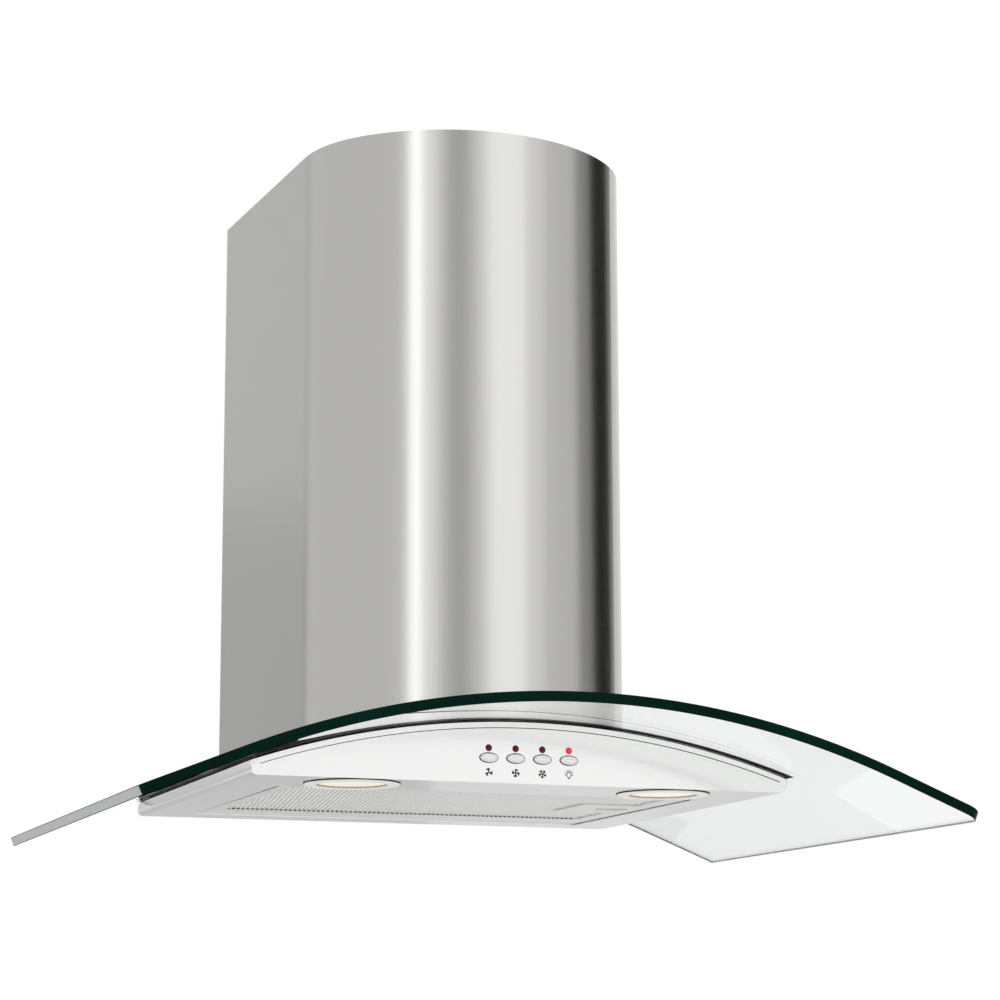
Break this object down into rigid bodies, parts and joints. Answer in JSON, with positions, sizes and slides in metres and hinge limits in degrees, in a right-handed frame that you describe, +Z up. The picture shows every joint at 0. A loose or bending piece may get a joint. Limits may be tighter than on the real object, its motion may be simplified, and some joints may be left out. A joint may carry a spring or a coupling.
{
  "type": "range hood",
  "caption": "Wall range hood with a curved glass canopy, D-shaped steel chimney, push buttons, lamps, mesh filter and centrifugal blower.",
  "frame": {"origin": "centre of the four wall screws, on the wall face of the motor box's back", "axes": "+Z up, -Y out of the wall towards the cook, +X to the right"},
  "size_m": [0.6, 0.442, 0.5138],
  "materials": {
    "chimney_steel": "stainless sheet, fine vertical brushing",
    "body_steel": "stainless sheet, bright satin",
    "canopy_glass": "clear toughened glass with dark green edges",
    "seal_rubber": "black rubber",
    "galvanised": "galvanised sheet",
    "screw_steel": "zinc plated",
    "blower_plastic": "moulded plastic, dark grey",
    "outlet_plastic": "moulded plastic, black",
    "impeller_metal": "galvanised pressed sheet",
    "shaft_steel": "ground steel",
    "motor_metal": "cast end shields",
    "bearing_bronze": "sintered bronze",
    "capacitor_can": "white plastic can",
    "terminal_plastic": "grey plastic",
    "lamp_ring": "satin light grey",
    "lamp_lens": "frosted, lit warm",
    "lamp_holder": "white heat-proof plastic",
    "bulb_glass": "warm bulb",
    "button_chrome": "chrome",
    "control_plastic": "black plastic",
    "board_green": "coated circuit board",
    "light_red": "clear dark red, unlit",
    "light_lit": "clear red, lit",
    "filter_aluminium": "satin aluminium",
    "mesh_aluminium": "expanded aluminium",
    "latch_plastic": "light grey plastic"
  },
  "bodies": {
    "hood": {"canopy_body": "body_steel", "top_plate": "body_steel", "glass_gasket": "seal_rubber", "glass_canopy": "canopy_glass", "clamp_pads": "seal_rubber", "clamp_washers": "seal_rubber", "clamp_screws": "screw_steel", "clamp_nuts": "screw_steel", "motor_box": "galvanised", "motor_box_cover": "galvanised", "cover_screws": "screw_steel", "box_screws": "screw_steel", "scroll_left": "blower_plastic", "scroll_right": "blower_plastic", "motor": "motor_metal", "motor_bearings": "bearing_bronze", "motor_bracket": "galvanised", "bracket_screws": "screw_steel", "outlet_adapter": "blower_plastic", "outlet_collar": "outlet_plastic", "collar_screws": "screw_steel", "damper_pin": "shaft_steel", "capacitor": "capacitor_can", "capacitor_clip": "galvanised", "terminal_box": "terminal_plastic", "terminal_lid": "terminal_plastic", "cable_gland": "control_plastic", "chimney_lower": "chimney_steel", "chimney_stays": "galvanised", "lamp_bezels": "lamp_ring", "lamp_lenses": "lamp_lens", "lamp_holders": "lamp_holder", "lamp_bulbs": "bulb_glass", "control_housing": "control_plastic", "control_board": "board_green", "push_switches": "control_plastic", "indicator_lights": "light_red", "lamp_indicator": "light_lit"},
    "button_1": {"button_1": "button_chrome"},
    "button_2": {"button_2": "button_chrome"},
    "button_3": {"button_3": "button_chrome"},
    "button_4": {"button_4": "button_chrome"},
    "impeller": {"impeller": "impeller_metal", "impeller_shaft": "shaft_steel"},
    "damper_left": {"damper_flap_left": "outlet_plastic"},
    "damper_right": {"damper_flap_right": "outlet_plastic"},
    "filter": {"filter_frame": "filter_aluminium", "filter_mesh_lower": "mesh_aluminium", "filter_core": "mesh_aluminium", "filter_mesh_upper": "mesh_aluminium"},
    "filter_latch": {"filter_latch": "latch_plastic"},
    "upper_chimney": {"chimney_upper": "chimney_steel", "chimney_bracket": "galvanised"}
  },
  "joints": [
    {"name": "button_1_press", "type": "slide", "parent": "hood", "child": "button_1", "axis": [0, 1, 0], "range_m": [0, 0.0018], "stiffness_N_per_m": 500, "springref_m": -0.001},
    {"name": "button_2_press", "type": "slide", "parent": "hood", "child": "button_2", "axis": [0, 1, 0], "range_m": [0, 0.0018], "stiffness_N_per_m": 500, "springref_m": -0.001},
    {"name": "button_3_press", "type": "slide", "parent": "hood", "child": "button_3", "axis": [0, 1, 0], "range_m": [0, 0.0018], "stiffness_N_per_m": 500, "springref_m": -0.001},
    {"name": "button_4_press", "type": "slide", "parent": "hood", "child": "button_4", "axis": [0, 1, 0], "range_m": [0, 0.0018], "stiffness_N_per_m": 500, "springref_m": -0.001},
    {"name": "impeller_spin", "type": "hinge", "parent": "hood", "child": "impeller", "pos_m": [0, -0.1, -0.02], "axis": [1, 0, 0], "continuous": true},
    {"name": "damper_left_swing", "type": "hinge", "parent": "hood", "child": "damper_left", "pos_m": [0, -0.122, 0.1318], "axis": [0, 1, 0], "range_deg": [0, 80]},
    {"name": "damper_right_swing", "type": "hinge", "parent": "hood", "child": "damper_right", "pos_m": [0, -0.122, 0.1318], "axis": [0, -1, 0], "range_deg": [0, 80]},
    {"name": "filter_drop", "type": "hinge", "parent": "hood", "child": "filter", "pos_m": [-0.1608, -0.148, -0.1772], "axis": [0, 1, 0], "range_deg": [0, 60]},
    {"name": "latch_slide", "type": "slide", "parent": "filter", "child": "filter_latch", "axis": [-1, 0, 0], "range_m": [0, 0.006], "stiffness_N_per_m": 300, "springref_m": -0.003},
    {"name": "chimney_lift", "type": "slide", "parent": "hood", "child": "upper_chimney", "axis": [0, 0, 1], "range_m": [0, 0.3]}
  ]
}
